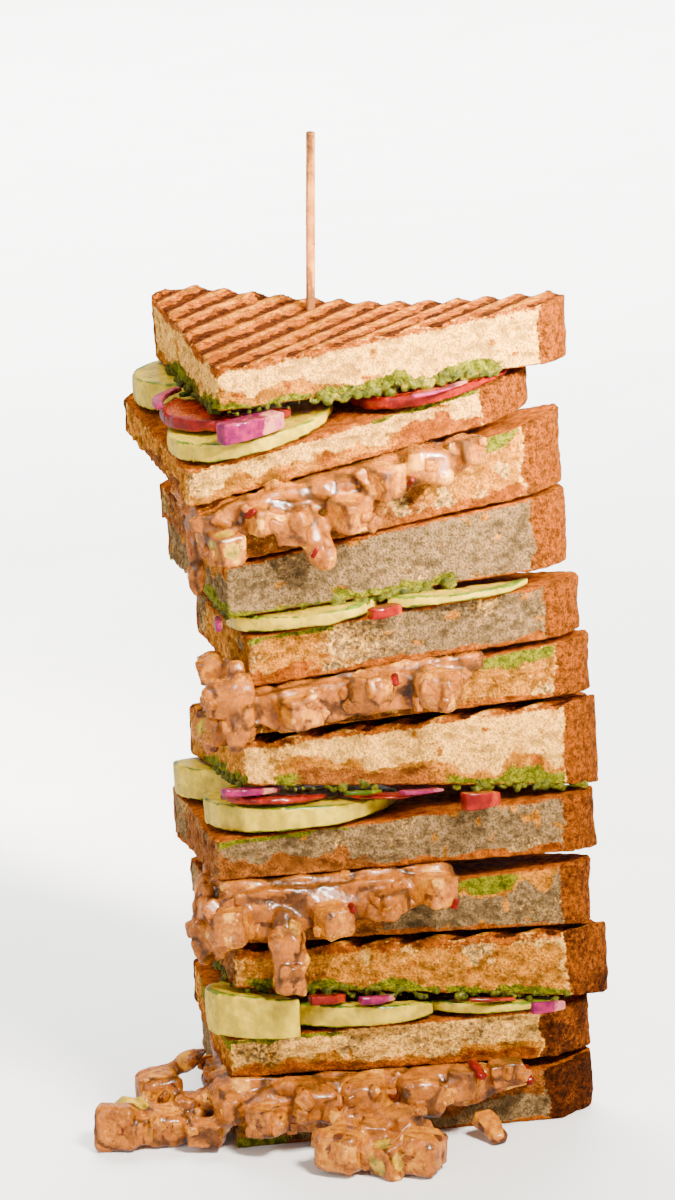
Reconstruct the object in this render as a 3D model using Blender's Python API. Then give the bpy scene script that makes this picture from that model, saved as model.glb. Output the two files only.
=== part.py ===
"""A tower of four grilled club sandwich quarters with a wooden pick in the top.

Every quarter is three slices of toast with raw vegetables under the first slice and a creamy,
chunky filling under the second. The cut faces look towards -Y (front) and -X (left), the crust
is at the back right. The origin is on the table under the middle of the lowest slice.
Lengths are in millimetres, angles in degrees, and MM turns them into Blender's metres.
"""

import math
import random
from collections import namedtuple

import bmesh
import bpy
from mathutils import Euler, Matrix, Vector, noise

MM = 0.001

# Driving sizes

REF_APEX = (-25.0, -28.0)    # the three plan points where each layer's height is given
REF_RIGHT = (55.0, -28.0)
REF_BACK = (-27.0, 52.0)

CLEARANCE = 0.35             # air left between two touching pieces
FILLING_CLEARANCE = 0.48     # more round the fillings, as a slice's bent faces lie off its planes
RIDGE_PITCH = 7.7            # the contact grill's ribs
RIDGE_DEPTH = 1.1
RIDGE_ANGLE = 45.0           # ribs run square to the crust side
EDGE_RADIUS = 1.5            # the corners that the knife made
CRUST_RADIUS = 6.0           # the loaf's rounded corners
BACK_CRUST = 6.5             # how far the crust wraps round at the left cut's far end
TEAR = 1.2                   # the most that torn crumb stands out of a side
TOP_DIP = 3.7                # how far the top slice sinks half way along its crust side
DRAPE_BASE = 2.0             # the least that filling hanging over a cut face stands off it

PICK_RADIUS = 1.05
PICK_FOOT = (2.4, 21.0, 139.0)
PICK_TOP = (6.6, 21.0, 219.0)
PICK_POINT = 7.0
PICK_HOLE_RADIUS = 1.45

BIT_TOP = (27.5, -31.6, 4.9)     # a piece fallen out in front, leaning back on the lowest slice
BIT_FOOT = (31.2, -39.6, 0.8)
BIT_WIDTH = 5.6
BIT_THICKNESS = 4.0
BIT_TAPER = 0.72                 # its foot end is this much narrower than its top end

# Each slice of toast, from the top down. apex: the cut corner in plan. turn: about Z.
# legs: the two cut edges. crust: how far the crust wraps round at the front cut's right end.
# under and thick: height of the underside and thickness at the apex, right and back corners.

Slice = namedtuple("Slice", "name apex turn legs crust under thick ribs")

SLICES = [
    Slice("bread_01", (-21.7, -26.8), 5.5, (82.5, 82), 8.5, (167, 171.5, 165), (10, 14.4, 15.7), "top"),
    Slice("bread_02", (-28.3, -27.8), 7, (81, 77.5), 13, (147.5, 161, 152), (8, 9, 8), ""),
    Slice("bread_03", (-23.2, -26.3), 6, (82.5, 73), 11, (133, 143.5, 130), (7.5, 17, 8.5), ""),
    Slice("bread_04", (-21.2, -25.8), 6, (80, 78), 9, (121, 125.5, 119), (11.5, 17.3, 10.5), ""),
    Slice("bread_05", (-17.7, -25.8), 4.5, (78.5, 74.5), 9.5, (105, 110.5, 100.5), (11, 12.5, 10.5), ""),
    Slice("bread_06", (-18.1, -24.4), 3, (80.5, 75.5), 9.5, (94.5, 97.5, 84), (6.5, 12.5, 9.5), ""),
    Slice("bread_07", (-20.2, -25.8), 4.5, (84.5, 80), 10, (84, 77, 70), (9.5, 19.5, 13), "top"),
    Slice("bread_08", (-27.1, -26.4), 2.5, (88.5, 83.5), 8.5, (62.5, 62, 51), (9, 13, 12), ""),
    Slice("bread_09", (-25.1, -24.9), 1.5, (84.5, 82.5), 7.5, (47.5, 45, 36.5), (7, 14.5, 8.5), ""),
    Slice("bread_10", (-25, -26.5), 1, (88.5, 82.5), 12, (37.5, 28.4, 24), (9.3, 15.9, 12), "top"),
    Slice("bread_11", (-27, -26), 1, (85.5, 82), 13, (16.5, 14.3, 10.4), (9, 11.7, 9.9), ""),
    Slice("bread_12", (-26, -26), 0.5, (84, 83), 11.5, (0, 0, 0), (8.5, 12.5, 9), ""),
]

# Vegetables. level: the part of the gap between its two slices that the piece takes.

Wedge = namedtuple("Wedge", "name gap kind centre radius start sweep level")
Strip = namedtuple("Strip", "name gap kind path width level")

VEGETABLES = [
    Wedge("cucumber_1a", 1, "cucumber", (-14.0, -12.0), 18.5, 0, 360, (0.03, 0.44)),
    Wedge("cucumber_1b", 1, "cucumber", (-15.5, 34.5), 20.5, 95, 170, (0.05, 0.95)),
    Wedge("tomato_1a", 1, "tomato", (-13.0, -3.0), 20.0, 137, 158, (0.48, 0.79)),
    Wedge("tomato_1b", 1, "tomato", (26.5, -6.0), 20.0, 185, 165, (0.10, 0.69)),
    Strip("onion_1a", 1, "onion", [(-22.0, -34.0), (-15.0, -31.0), (-8.5, -27.5)], 7.0, (0.50, 0.93)),
    Strip("onion_1b", 1, "onion", [(-32.5, -5.0), (-31.5, 5.0), (-26.5, 12.5)], 3.0, (0.84, 1.00)),
    Strip("pepper_1", 1, "pepper", [(-27.0, 4.5), (-22.5, 6.5), (-18.0, 7.0)], 3.5, (0.84, 0.99)),
    Strip("onion_1c", 1, "onion", [(20.0, -31.5), (27.0, -29.0), (33.0, -23.0)], 3.0, (0.80, 0.97)),
    Wedge("cucumber_2a", 4, "cucumber", (-4.0, -13.0), 17.0, 0, 360, (0.06, 0.94)),
    Wedge("cucumber_2b", 4, "cucumber", (29.0, -9.0), 20.0, 217, 106, (0.08, 0.93)),
    Strip("tomato_2", 4, "tomato", [(8.5, -31.5), (12.0, -30.0), (15.5, -28.5)], 4.5, (0.06, 0.90)),
    Strip("onion_2", 4, "onion", [(-24.0, -26.0), (-23.8, -22.0), (-23.4, -18.0)], 2.0, (0.45, 0.95)),
    Wedge("cucumber_3a", 7, "cucumber", (-7.0, -7.5), 22.0, 0, 360, (0.03, 0.60)),
    Wedge("cucumber_3b", 7, "cucumber", (-14.0, 34.0), 18.0, 120, 150, (0.04, 0.96)),
    Wedge("tomato_3a", 7, "tomato", (-13.0, -16.0), 13.0, 185, 150, (0.64, 0.80)),
    Wedge("tomato_3b", 7, "tomato", (11.5, -17.0), 11.5, 190, 160, (0.65, 0.78)),
    Strip("tomato_3c", 7, "tomato", [(27.0, -31.0), (31.0, -29.5), (35.0, -27.5)], 5.0, (0.10, 0.90)),
    Strip("onion_3a", 7, "onion", [(-25.5, -28.0), (-19.0, -25.5), (-13.0, -20.0)], 5.5, (0.84, 0.99)),
    Strip("onion_3b", 7, "onion", [(13.5, -31.0), (18.0, -28.5), (23.0, -24.5)], 4.5, (0.84, 0.99)),
    Strip("pepper_3", 7, "pepper", [(1.0, -30.5), (5.5, -29.0), (9.5, -26.0)], 2.5, (0.84, 0.98)),
    Wedge("cucumber_4a", 10, "cucumber", (-14.0, -17.0), 17.0, 140, 140, (0.03, 0.93)),
    Wedge("cucumber_4b", 10, "cucumber", (4.0, -11.0), 19.0, 212, 110, (0.04, 0.68)),
    Wedge("cucumber_4c", 10, "cucumber", (33.0, -12.0), 16.5, 210, 120, (0.06, 0.66)),
    Strip("tomato_4a", 10, "tomato", [(-9.0, -29.5), (-5.0, -28.0), (-1.5, -25.0)], 4.5, (0.72, 0.96)),
    Strip("tomato_4b", 10, "tomato", [(26.5, -29.0), (32.0, -28.0), (37.0, -26.5)], 3.0, (0.77, 0.97)),
    Strip("onion_4a", 10, "onion", [(2.0, -30.5), (6.0, -28.5), (10.0, -25.0)], 3.5, (0.74, 0.96)),
    Strip("onion_4b", 10, "onion", [(40.0, -31.5), (44.0, -30.0), (48.0, -28.5)], 2.4, (0.10, 0.90)),
]

# Fillings. bulge: how far the mass stands out of the front and the left cut face.
# reach: how far it runs along the two cuts. lumps: diced pieces that show, centre and size.
# runs: thick drips, top, foot and radius. drapes: where the mass hangs down over the slice
# below: side, its two ends along the cut, height of the top, heights of the foot at both ends.

Filling = namedtuple("Filling", "name gap bulge reach lumps runs drapes seed")

FILLINGS = [
    Filling(
        "filling_1", 2, (2.0, 0.5), (58.0, 56.0),
        [((-22.0, -33.0, 138.5), 7.0), ((-7.0, -33.5, 142.5), 7.5), ((5.0, -33.0, 144.5), 8.0),
         ((13.0, -33.0, 151.0), 8.0), ((23.0, -32.0, 153.5), 8.5), ((-14.0, -34.0, 144.5), 6.5),
         ((31.0, -31.0, 156.0), 6.0)],
        [((-4.0, -32.0, 144.0), (-1.0, -33.6, 134.5), 4.5),
         ((-27.0, -18.0, 146.0), (-28.0, -21.0, 126.0), 2.4)],
        [("front", -29.0, 36.0, (146.5, 157.0), (138.0, 152.0)),
         ("left", -30.0, 22.0, (146.5, 148.0), (133.0, 137.5))],
        11),
    Filling(
        "filling_2", 5, (2.0, 2.0), (58.0, 56.0),
        [((-23.5, -27.0, 104.0), 8.5), ((-25.0, -20.0, 95.0), 8.0), ((-8.0, -32.5, 100.5), 7.5),
         ((8.0, -32.5, 104.5), 8.0), ((22.5, -32.0, 103.5), 9.0), ((-25.5, -14.0, 107.0), 6.5)],
        [((-20.5, -28.5, 108.0), (-22.0, -31.0, 93.5), 3.6),
         ((-24.5, -14.0, 104.0), (-26.5, -16.0, 89.0), 3.0)],
        [("front", -22.0, 30.0, (104.5, 107.5), (95.0, 99.5)),
         ("left", -31.0, 0.0, (112.0, 106.0), (90.0, 92.0))],
        23),
    Filling(
        "filling_3", 8, (2.0, 2.0), (56.0, 56.0),
        [((-13.5, -35.5, 41.5), 7.5), ((-25.0, -31.0, 53.0), 8.0), ((-3.0, -33.0, 53.0), 8.5),
         ((10.0, -32.0, 56.0), 7.0), ((20.0, -31.5, 57.5), 8.0), ((29.5, -31.0, 59.0), 7.0)],
        [((-14.0, -32.0, 54.0), (-13.0, -34.0, 43.0), 5.2),
         ((-30.0, -18.0, 58.0), (-31.0, -21.0, 44.0), 4.0),
         ((-29.5, -8.0, 52.0), (-30.0, -10.0, 39.5), 2.8)],
        [("front", -30.0, 26.0, (60.0, 60.5), (47.0, 54.5)),
         ("left", -31.0, 6.0, (58.0, 56.0), (44.0, 45.0))],
        37),
    Filling(
        "filling_4", 11, (2.0, 2.0), (62.0, 56.0),
        [((-9.5, -33.0, 11.5), 10.0), ((2.0, -33.0, 11.0), 11.0), ((14.0, -32.5, 10.5), 10.0),
         ((24.5, -31.5, 12.5), 8.0), ((-20.0, -33.0, 8.0), 8.0), ((34.0, -31.0, 14.0), 6.5),
         ((-5.0, -47.0, 4.9), 12.0), ((2.0, -45.0, 7.5), 7.0), ((4.5, -52.0, 3.6), 8.0),
         ((11.5, -52.5, 4.9), 10.5), ((8.0, -44.0, 8.5), 8.0), ((0.0, -40.0, 4.5), 9.0),
         ((10.0, -40.0, 4.5), 9.0), ((-34.5, -15.0, 5.4), 9.5), ((-42.0, -6.0, 7.5), 11.0),
         ((-49.0, -12.5, 4.6), 9.0), ((-52.5, -18.0, 4.4), 10.5), ((-41.5, -19.0, 4.2), 8.5),
         ((-33.5, -26.0, 4.0), 7.0), ((-46.0, -19.0, 3.4), 7.0)],
        [((-3.0, -31.0, 9.0), (-2.0, -42.0, 4.4), 4.4), ((-31.0, -16.0, 10.0), (-35.0, -18.0, 4.4), 4.2),
         ((-31.5, -8.0, 17.0), (-40.0, 1.0, 9.0), 2.6), ((-40.0, -10.0, 4.0), (-48.0, -16.0, 3.6), 3.6),
         ((7.0, -33.0, 8.0), (8.0, -43.0, 4.4), 4.4)],
        [("front", -26.0, 40.0, (16.0, 14.5), (2.5, 8.5)),
         ("left", -31.0, 4.0, (15.5, 13.0), (3.0, 4.0))],
        51),
]

COLOURS = {
    "bread": (0.82, 0.68, 0.47, 1.0),
    "cucumber": (0.72, 0.78, 0.32, 1.0),
    "tomato": (0.80, 0.20, 0.06, 1.0),
    "onion": (0.62, 0.22, 0.50, 1.0),
    "pepper": (0.32, 0.50, 0.05, 1.0),
    "filling": (0.72, 0.42, 0.22, 1.0),
    "pick": (0.70, 0.42, 0.20, 1.0),
}


def clear_scene():
    """Take out whatever the file opened with."""
    for one in list(bpy.data.objects):
        bpy.data.objects.remove(one, do_unlink=True)


def make_collection(name):
    group = bpy.data.collections.new(name)
    bpy.context.scene.collection.children.link(group)
    return group


def make_material(kind, roughness):
    material = bpy.data.materials.new("mat_" + kind)
    material.use_nodes = True
    shader = material.node_tree.nodes["Principled BSDF"]
    shader.inputs["Base Color"].default_value = COLOURS[kind]
    shader.inputs["Roughness"].default_value = roughness
    shader.inputs["Metallic"].default_value = 0.0
    material.diffuse_color = COLOURS[kind]
    return material


def level_at(levels, x, y):
    """Height at a plan point of the plane through the three reference corners."""
    across = (x - REF_APEX[0]) / (REF_RIGHT[0] - REF_APEX[0])
    back = (y - REF_APEX[1]) / (REF_BACK[1] - REF_APEX[1])
    return levels[0] + (levels[1] - levels[0]) * across + (levels[2] - levels[0]) * back


def dip(one, x, y):
    """How far the top slice's upper face has sunk at a plan point."""
    across = (x - REF_APEX[0]) / (REF_RIGHT[0] - REF_APEX[0])
    back = (y - REF_APEX[1]) / (REF_BACK[1] - REF_APEX[1])
    if one is not SLICES[0] or min(across, back) <= 0:
        return 0.0
    both = across + back
    return TOP_DIP * min(both, 1.15) / 1.15 * (4 * across * back / both ** 2) ** 2


def top_levels(one):
    return tuple(low + thick for low, thick in zip(one.under, one.thick))


def rounded(corners, radii, steps=3):
    """Plan points of a polygon whose corners are rounded by arcs."""
    points = []
    count = len(corners)
    for index, corner in enumerate(corners):
        here = Vector(corner)
        before = (Vector(corners[index - 1]) - here).normalized()
        after = (Vector(corners[(index + 1) % count]) - here).normalized()
        half = before.angle(after) / 2
        reach = radii[index] / math.tan(half)
        centre = here + (before + after).normalized() * (radii[index] / math.sin(half))
        start = here + before * reach - centre
        end = here + after * reach - centre
        for step in range(steps + 1):
            points.append(centre + start.slerp(end, step / steps) * radii[index])
    return points


def slice_outline(one, grow=0.0):
    """The quarter's plan outline about its own apex: cut, crust corner, crust, crust corner, cut."""
    front, left = one.legs
    crust = one.crust
    corners = [
        (-grow, -grow),
        (front - crust, -grow),
        (front + grow, crust * 0.8),
        (BACK_CRUST * 0.8, left + grow),
        (-grow, left - BACK_CRUST),
    ]
    return rounded(corners, [EDGE_RADIUS, EDGE_RADIUS, CRUST_RADIUS, CRUST_RADIUS, EDGE_RADIUS])


def cut_in_strips(bm, angle, spacing, reach, offset=0.0):
    """Score the flat face along parallel lines."""
    across = Vector((-math.sin(angle), math.cos(angle), 0.0))
    count = int(reach / spacing) + 1
    for step in range(-count, count + 1):
        geometry = bm.verts[:] + bm.edges[:] + bm.faces[:]
        point = across * (step * spacing + offset)
        bmesh.ops.bisect_plane(bm, geom=geometry, plane_co=point, plane_no=across, dist=0.01)


def rib(x, y):
    """Depth of the grill's groove at a slice's own plan point: 0 on a rib, 1 in the groove."""
    angle = math.radians(RIDGE_ANGLE)
    across = -math.sin(angle) * x + math.cos(angle) * y
    return 0.5 - 0.5 * math.cos(2 * math.pi * across / RIDGE_PITCH)


def slice_mesh(one, grow=0.0, plain=False):
    """A slice as a bmesh in its own place: scored in plan, stood up to its two levels, sides torn."""
    bm = bmesh.new()
    corners = [bm.verts.new((p.x, p.y, 0.0)) for p in slice_outline(one, grow)]
    bm.faces.new(corners)
    turn = math.radians(one.turn)
    if not plain:
        angle = math.radians(RIDGE_ANGLE)
        if one.ribs:
            cut_in_strips(bm, angle, RIDGE_PITCH / 2, 80.0)
        cut_in_strips(bm, angle + math.pi / 2, 20.0, 80.0, 4.0)
        if not one.ribs:
            cut_in_strips(bm, angle, 18.0, 80.0, 4.0)
    low = bm.faces[:]
    made = bmesh.ops.extrude_face_region(bm, geom=low)
    high = {v for v in made["geom"] if isinstance(v, bmesh.types.BMVert)}
    upright = [e for e in bm.edges if (e.verts[0] in high) != (e.verts[1] in high)]
    place = Matrix.Translation((one.apex[0], one.apex[1], 0.0)) @ Matrix.Rotation(turn, 4, "Z")
    for vert in bm.verts:
        own = vert.co.copy()
        vert.co = place @ vert.co
        groove = 0.0 if plain else rib(own.x, own.y) * RIDGE_DEPTH
        if vert in high:
            vert.co.z = level_at(top_levels(one), vert.co.x, vert.co.y) + grow
            vert.co.z -= dip(one, vert.co.x, vert.co.y)
            if one.ribs:
                vert.co.z -= groove
        else:
            vert.co.z = level_at(one.under, vert.co.x, vert.co.y) - grow
    if not plain and not one.ribs:
        before = set(bm.verts)
        bmesh.ops.subdivide_edges(bm, edges=upright, cuts=1)
        for vert in set(bm.verts) - before:
            tear_side(vert, one)
    bmesh.ops.recalc_face_normals(bm, faces=bm.faces[:])
    return bm


def tear_side(vert, one):
    """Push a point half way up the side in or out, as torn crumb stands."""
    middle = Vector((one.apex[0] + one.legs[0] * 0.3, one.apex[1] + one.legs[1] * 0.3))
    out = (Vector((vert.co.x, vert.co.y)) - middle).normalized()
    push = min(0.5 + 0.8 * noise.noise(vert.co * 0.16), TEAR)
    vert.co.x += out.x * push
    vert.co.y += out.y * push


def to_object(bm, name, group, material):
    """Turn a bmesh in millimetres into a named object in metres, all in triangles."""
    bmesh.ops.triangulate(bm, faces=bm.faces[:])
    bmesh.ops.transform(bm, matrix=Matrix.Scale(MM, 4), verts=bm.verts)
    mesh = bpy.data.meshes.new(name)
    bm.to_mesh(mesh)
    bm.free()
    mesh.materials.append(material)
    made = bpy.data.objects.new(name, mesh)
    group.objects.link(made)
    return made


def gap_levels(gap):
    """Levels of the slice below's top and the slice above's underside; gap 1 is under slice 1."""
    above = SLICES[gap - 1]
    below = SLICES[gap]
    return top_levels(below), above.under


def between(gap, part, x, y):
    """Height at a plan point, part of the way from the lower slice to the upper one."""
    low, high = gap_levels(gap)
    floor = level_at(low, x, y) + CLEARANCE
    roof = level_at(high, x, y) - CLEARANCE
    return floor + (roof - floor) * part


def wedge_outline(one):
    """A disc, or a sector of one, in plan."""
    points = []
    whole = one.sweep >= 360
    steps = 14 if whole else max(6, round(one.sweep / 18))
    for step in range(steps if whole else steps + 1):
        angle = math.radians(one.start + one.sweep * step / steps)
        reach = one.radius * (1 + 0.04 * math.sin(3 * angle + one.gap))
        arm = Vector((math.cos(angle), math.sin(angle)))
        points.append(Vector(one.centre) + arm * reach)
    if not whole and one.sweep > 185:
        points.append(Vector(one.centre))
    return points


def strip_outline(one):
    """A band of even width along a bent path, tapering at both ends."""
    path = smooth_path([Vector(p) for p in one.path], 6)
    left = []
    right = []
    for index, point in enumerate(path):
        ahead = path[min(index + 1, len(path) - 1)] - path[max(index - 1, 0)]
        side = Vector((-ahead.y, ahead.x)).normalized()
        fade = math.sin(math.pi * (0.12 + 0.76 * index / (len(path) - 1))) ** 0.5
        left.append(point + side * one.width / 2 * fade)
        right.append(point - side * one.width / 2 * fade)
    return left + right[::-1]


def smooth_path(points, steps):
    """Points on the curve that bends through the middle one of three."""
    start, middle, end = points
    control = middle * 2 - (start + end) / 2
    path = []
    for step in range(steps + 1):
        t = step / steps
        path.append(start * (1 - t) ** 2 + control * (2 * t * (1 - t)) + end * t ** 2)
    return path


def vegetable_mesh(one):
    """A flat piece whose two faces follow the slices that hold it."""
    bm = bmesh.new()
    outline = wedge_outline(one) if isinstance(one, Wedge) else strip_outline(one)
    bm.faces.new([bm.verts.new((p.x, p.y, 0.0)) for p in outline])
    made = bmesh.ops.extrude_face_region(bm, geom=bm.faces[:])
    high = {v for v in made["geom"] if isinstance(v, bmesh.types.BMVert)}
    for vert in bm.verts:
        part = one.level[1] if vert in high else one.level[0]
        vert.co.z = between(one.gap, part, vert.co.x, vert.co.y)
    bmesh.ops.recalc_face_normals(bm, faces=bm.faces[:])
    return bm


def add_cutter(bm, name, cutters):
    made = to_object(bm, name, cutters, bpy.data.materials["mat_bread"])
    made.hide_render = True
    made.display_type = "WIRE"
    return made


def filling_core(one):
    """The mass between two slices, standing out at both cuts and fading towards the crust."""
    bm = bmesh.new()
    above = SLICES[one.gap - 1]
    below = SLICES[one.gap]
    x0 = max(above.apex[0], below.apex[0]) - one.bulge[1]
    y0 = max(above.apex[1], below.apex[1]) - one.bulge[0]
    across, back = one.reach
    corners = [(x0, y0), (x0 + across, y0), (x0 + 8.0, y0 + back), (x0, y0 + back - 6.0)]
    outline = rounded(corners, [4.0, 3.0, 3.0, 3.0], 2)
    bm.faces.new([bm.verts.new((p.x, p.y, 0.0)) for p in outline])
    cut_in_strips(bm, math.pi / 2, 12.0, 80.0, 1.0)
    made = bmesh.ops.extrude_face_region(bm, geom=bm.faces[:])
    high = {v for v in made["geom"] if isinstance(v, bmesh.types.BMVert)}
    low_levels, high_levels = gap_levels(one.gap)
    for vert in bm.verts:
        x, y = vert.co.x, vert.co.y
        outside = x < x0 + one.bulge[1] or y < y0 + one.bulge[0]
        wave = noise.noise(Vector((x * 0.13, y * 0.13, one.seed)))
        if vert in high:
            vert.co.z = level_at(high_levels, x, y) + (0.4 + wave if outside else -0.5)
        else:
            vert.co.z = level_at(low_levels, x, y) + (-2.4 + 2.0 * wave if outside else 0.5)
    bmesh.ops.recalc_face_normals(bm, faces=bm.faces[:])
    return bm


def lump_mesh(centre, size, seed):
    """One diced piece: a slightly crooked cube coated in sauce."""
    draw = random.Random(seed)
    bm = bmesh.new()
    bmesh.ops.create_cube(bm, size=1.0)
    stretch = (draw.uniform(0.9, 1.15), draw.uniform(0.8, 1.0), draw.uniform(0.75, 0.95))
    bmesh.ops.scale(bm, vec=[size * part for part in stretch], verts=bm.verts)
    if size > 8.2:
        bmesh.ops.bevel(bm, geom=bm.edges[:] + bm.verts[:], offset=size * 0.12, segments=1, affect="EDGES")
    turn = Euler((draw.uniform(-0.16, 0.16), draw.uniform(-0.16, 0.16), draw.uniform(0, math.pi)))
    bmesh.ops.rotate(bm, cent=(0, 0, 0), matrix=turn.to_matrix(), verts=bm.verts)
    bmesh.ops.translate(bm, vec=centre, verts=bm.verts)
    return bm


def run_mesh(top, foot, radius, seed):
    """A thick run of filling from one point to another, fatter at its foot."""
    start = Vector(top)
    end = Vector(foot)
    bm = bmesh.new()
    bmesh.ops.create_icosphere(bm, subdivisions=2, radius=1.0)
    axis = end - start
    turn = axis.to_track_quat("Z", "Y").to_matrix().to_4x4()
    for vert in bm.verts:
        along = vert.co.z
        wave = 1 + 0.22 * noise.noise(vert.co * 1.7 + Vector((seed, 0, 0)))
        width = radius * (0.86 + 0.14 * along) * wave
        height = along * (axis.length / 2 + radius * 0.6)
        vert.co = Vector((vert.co.x * width, vert.co.y * width * 0.9, height))
    bmesh.ops.transform(bm, matrix=Matrix.Translation((start + end) / 2) @ turn, verts=bm.verts)
    return bm


def drape_mesh(side, near, far, tops, feet, face, seed):
    """The filling that hangs down over a cut face, lumpy and with an uneven foot."""
    bm = bmesh.new()
    bmesh.ops.create_cube(bm, size=1.0)
    long_edges = [e for e in bm.edges if abs(e.verts[0].co.x - e.verts[1].co.x) > 0.5]
    parts = max(3, round((far - near) / 6.0))
    bmesh.ops.subdivide_edges(bm, edges=long_edges, cuts=parts, use_grid_fill=True)
    upright = [e for e in bm.edges if abs(e.verts[0].co.z - e.verts[1].co.z) > 0.5]
    bmesh.ops.subdivide_edges(bm, edges=upright, cuts=2, use_grid_fill=True)
    for vert in bm.verts:
        share = vert.co.x + 0.5
        down = 0.5 - vert.co.z
        top = tops[0] + (tops[1] - tops[0]) * share
        foot = feet[0] + (feet[1] - feet[0]) * share
        along = near + (far - near) * share
        bump = noise.noise(Vector((along * 0.22, down * 2.0, seed)))
        fade = min(1.0, 0.35 + 4.0 * min(share, 1.0 - share))
        height = top + (foot - top) * (down * fade + (1 - fade) * 0.4) + bump * 2.4 * down
        out = 3.6 + 2.4 * bump - 2.0 * abs(down - 0.45)
        depth = face - DRAPE_BASE - out * fade if vert.co.y < 0 else face + 0.5
        if side == "front":
            vert.co = Vector((along, depth, height))
        else:
            vert.co = Vector((depth, along, height))
    bmesh.ops.triangulate(bm, faces=bm.faces[:])
    if bm.calc_volume(signed=True) < 0:
        bmesh.ops.reverse_faces(bm, faces=bm.faces[:])
    return bm


def add_boolean(target, operation, collection=None, tool=None, solver="EXACT"):
    """Run one Boolean on the target and keep its result as the mesh."""
    modifier = target.modifiers.new("join", "BOOLEAN")
    modifier.operation = operation
    modifier.solver = solver
    if collection is not None:
        modifier.operand_type = "COLLECTION"
        modifier.collection = collection
    else:
        modifier.object = tool
    bpy.context.view_layer.update()
    graph = bpy.context.evaluated_depsgraph_get()
    mesh = bpy.data.meshes.new_from_object(target.evaluated_get(graph))
    target.modifiers.remove(modifier)
    target.data = mesh


def keep_largest(target):
    """Drop loose scraps and turn the faces that are left into triangles."""
    bm = bmesh.new()
    bm.from_mesh(target.data)
    unseen = set(bm.verts)
    groups = []
    while unseen:
        stack = [unseen.pop()]
        group = set(stack)
        while stack:
            for edge in stack.pop().link_edges:
                for vert in edge.verts:
                    if vert not in group:
                        group.add(vert)
                        unseen.discard(vert)
                        stack.append(vert)
        groups.append(group)
    best = max(groups, key=len)
    bmesh.ops.delete(bm, geom=[v for v in bm.verts if v not in best], context="VERTS")
    bmesh.ops.triangulate(bm, faces=bm.faces[:])
    bm.to_mesh(target.data)
    bm.free()


def table_cutter(cutters):
    """A block under the table top, to flatten the fallen pieces' feet."""
    bm = bmesh.new()
    bmesh.ops.create_cube(bm, size=1.0)
    bmesh.ops.scale(bm, vec=(300.0, 300.0, 40.0), verts=bm.verts)
    bmesh.ops.translate(bm, vec=(0.0, 0.0, -20.0), verts=bm.verts)
    return add_cutter(bm, "cut_table", cutters)


def build_filling(one, group, cutters, material, table):
    """Join the mass, its diced pieces and its runs, then cut the slices' room out of it."""
    target = to_object(filling_core(one), one.name, group, material)
    extras = bpy.data.collections.new("extras_" + one.name)
    bpy.context.scene.collection.children.link(extras)
    for index, (centre, size) in enumerate(one.lumps):
        to_object(lump_mesh(centre, size, one.seed + index), f"lump_{one.seed}_{index}", extras, material)
    for index, (top, foot, radius) in enumerate(one.runs):
        to_object(run_mesh(top, foot, radius, one.seed + index), f"run_{one.seed}_{index}", extras, material)
    lower = SLICES[one.gap]
    for index, (side, near, far, tops, feet) in enumerate(one.drapes):
        face = lower.apex[1] if side == "front" else lower.apex[0]
        bm = drape_mesh(side, near, far, tops, feet, face, one.seed + index)
        to_object(bm, f"drape_{one.seed}_{index}", extras, material)
    # the exact solver leaves open edges where so many lumps meet
    add_boolean(target, "UNION", extras, solver="MANIFOLD")
    for extra in list(extras.objects):
        bpy.data.objects.remove(extra, do_unlink=True)
    bpy.data.collections.remove(extras)
    near = SLICES[max(one.gap - 2, 0):one.gap + 2]
    for bread in near:
        bm = slice_mesh(bread, FILLING_CLEARANCE + TEAR, True)
        tool = add_cutter(bm, f"cut_{one.name}_{bread.name}", cutters)
        tool_levels(tool, bread)
        add_boolean(target, "DIFFERENCE", tool=tool, solver="MANIFOLD")
    if one.gap == 11:
        add_boolean(target, "DIFFERENCE", tool=table, solver="MANIFOLD")
    keep_largest(target)
    return target


def tool_levels(tool, bread):
    """Give a cutter the slice's own two levels plus the clearance, and keep its wider outline."""
    for vert in tool.data.vertices:
        x, y = vert.co.x / MM, vert.co.y / MM
        low = level_at(bread.under, x, y) - FILLING_CLEARANCE
        high = level_at(top_levels(bread), x, y) + FILLING_CLEARANCE
        middle = (low + high) / 2
        vert.co.z = (high if vert.co.z / MM > middle else low) * MM


def pick_mesh(radius, top, foot, point):
    """A round stick with a blunt cone at its foot."""
    start = Vector(foot)
    end = Vector(top)
    axis = end - start
    bm = bmesh.new()
    bmesh.ops.create_cone(
        bm, cap_ends=True, segments=12, radius1=radius * 0.35, radius2=radius, depth=point)
    bmesh.ops.translate(bm, vec=(0, 0, point / 2), verts=bm.verts)
    lid = [f for f in bm.faces if f.calc_center_median().z > point - 0.001]
    made = bmesh.ops.extrude_face_region(bm, geom=lid)
    bmesh.ops.delete(bm, geom=lid, context="FACES_ONLY")
    moved = [v for v in made["geom"] if isinstance(v, bmesh.types.BMVert)]
    bmesh.ops.translate(bm, vec=(0, 0, axis.length - point), verts=moved)
    turn = axis.to_track_quat("Z", "Y").to_matrix().to_4x4()
    bmesh.ops.transform(bm, matrix=Matrix.Translation(start) @ turn, verts=bm.verts)
    bmesh.ops.recalc_face_normals(bm, faces=bm.faces[:])
    return bm


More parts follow.
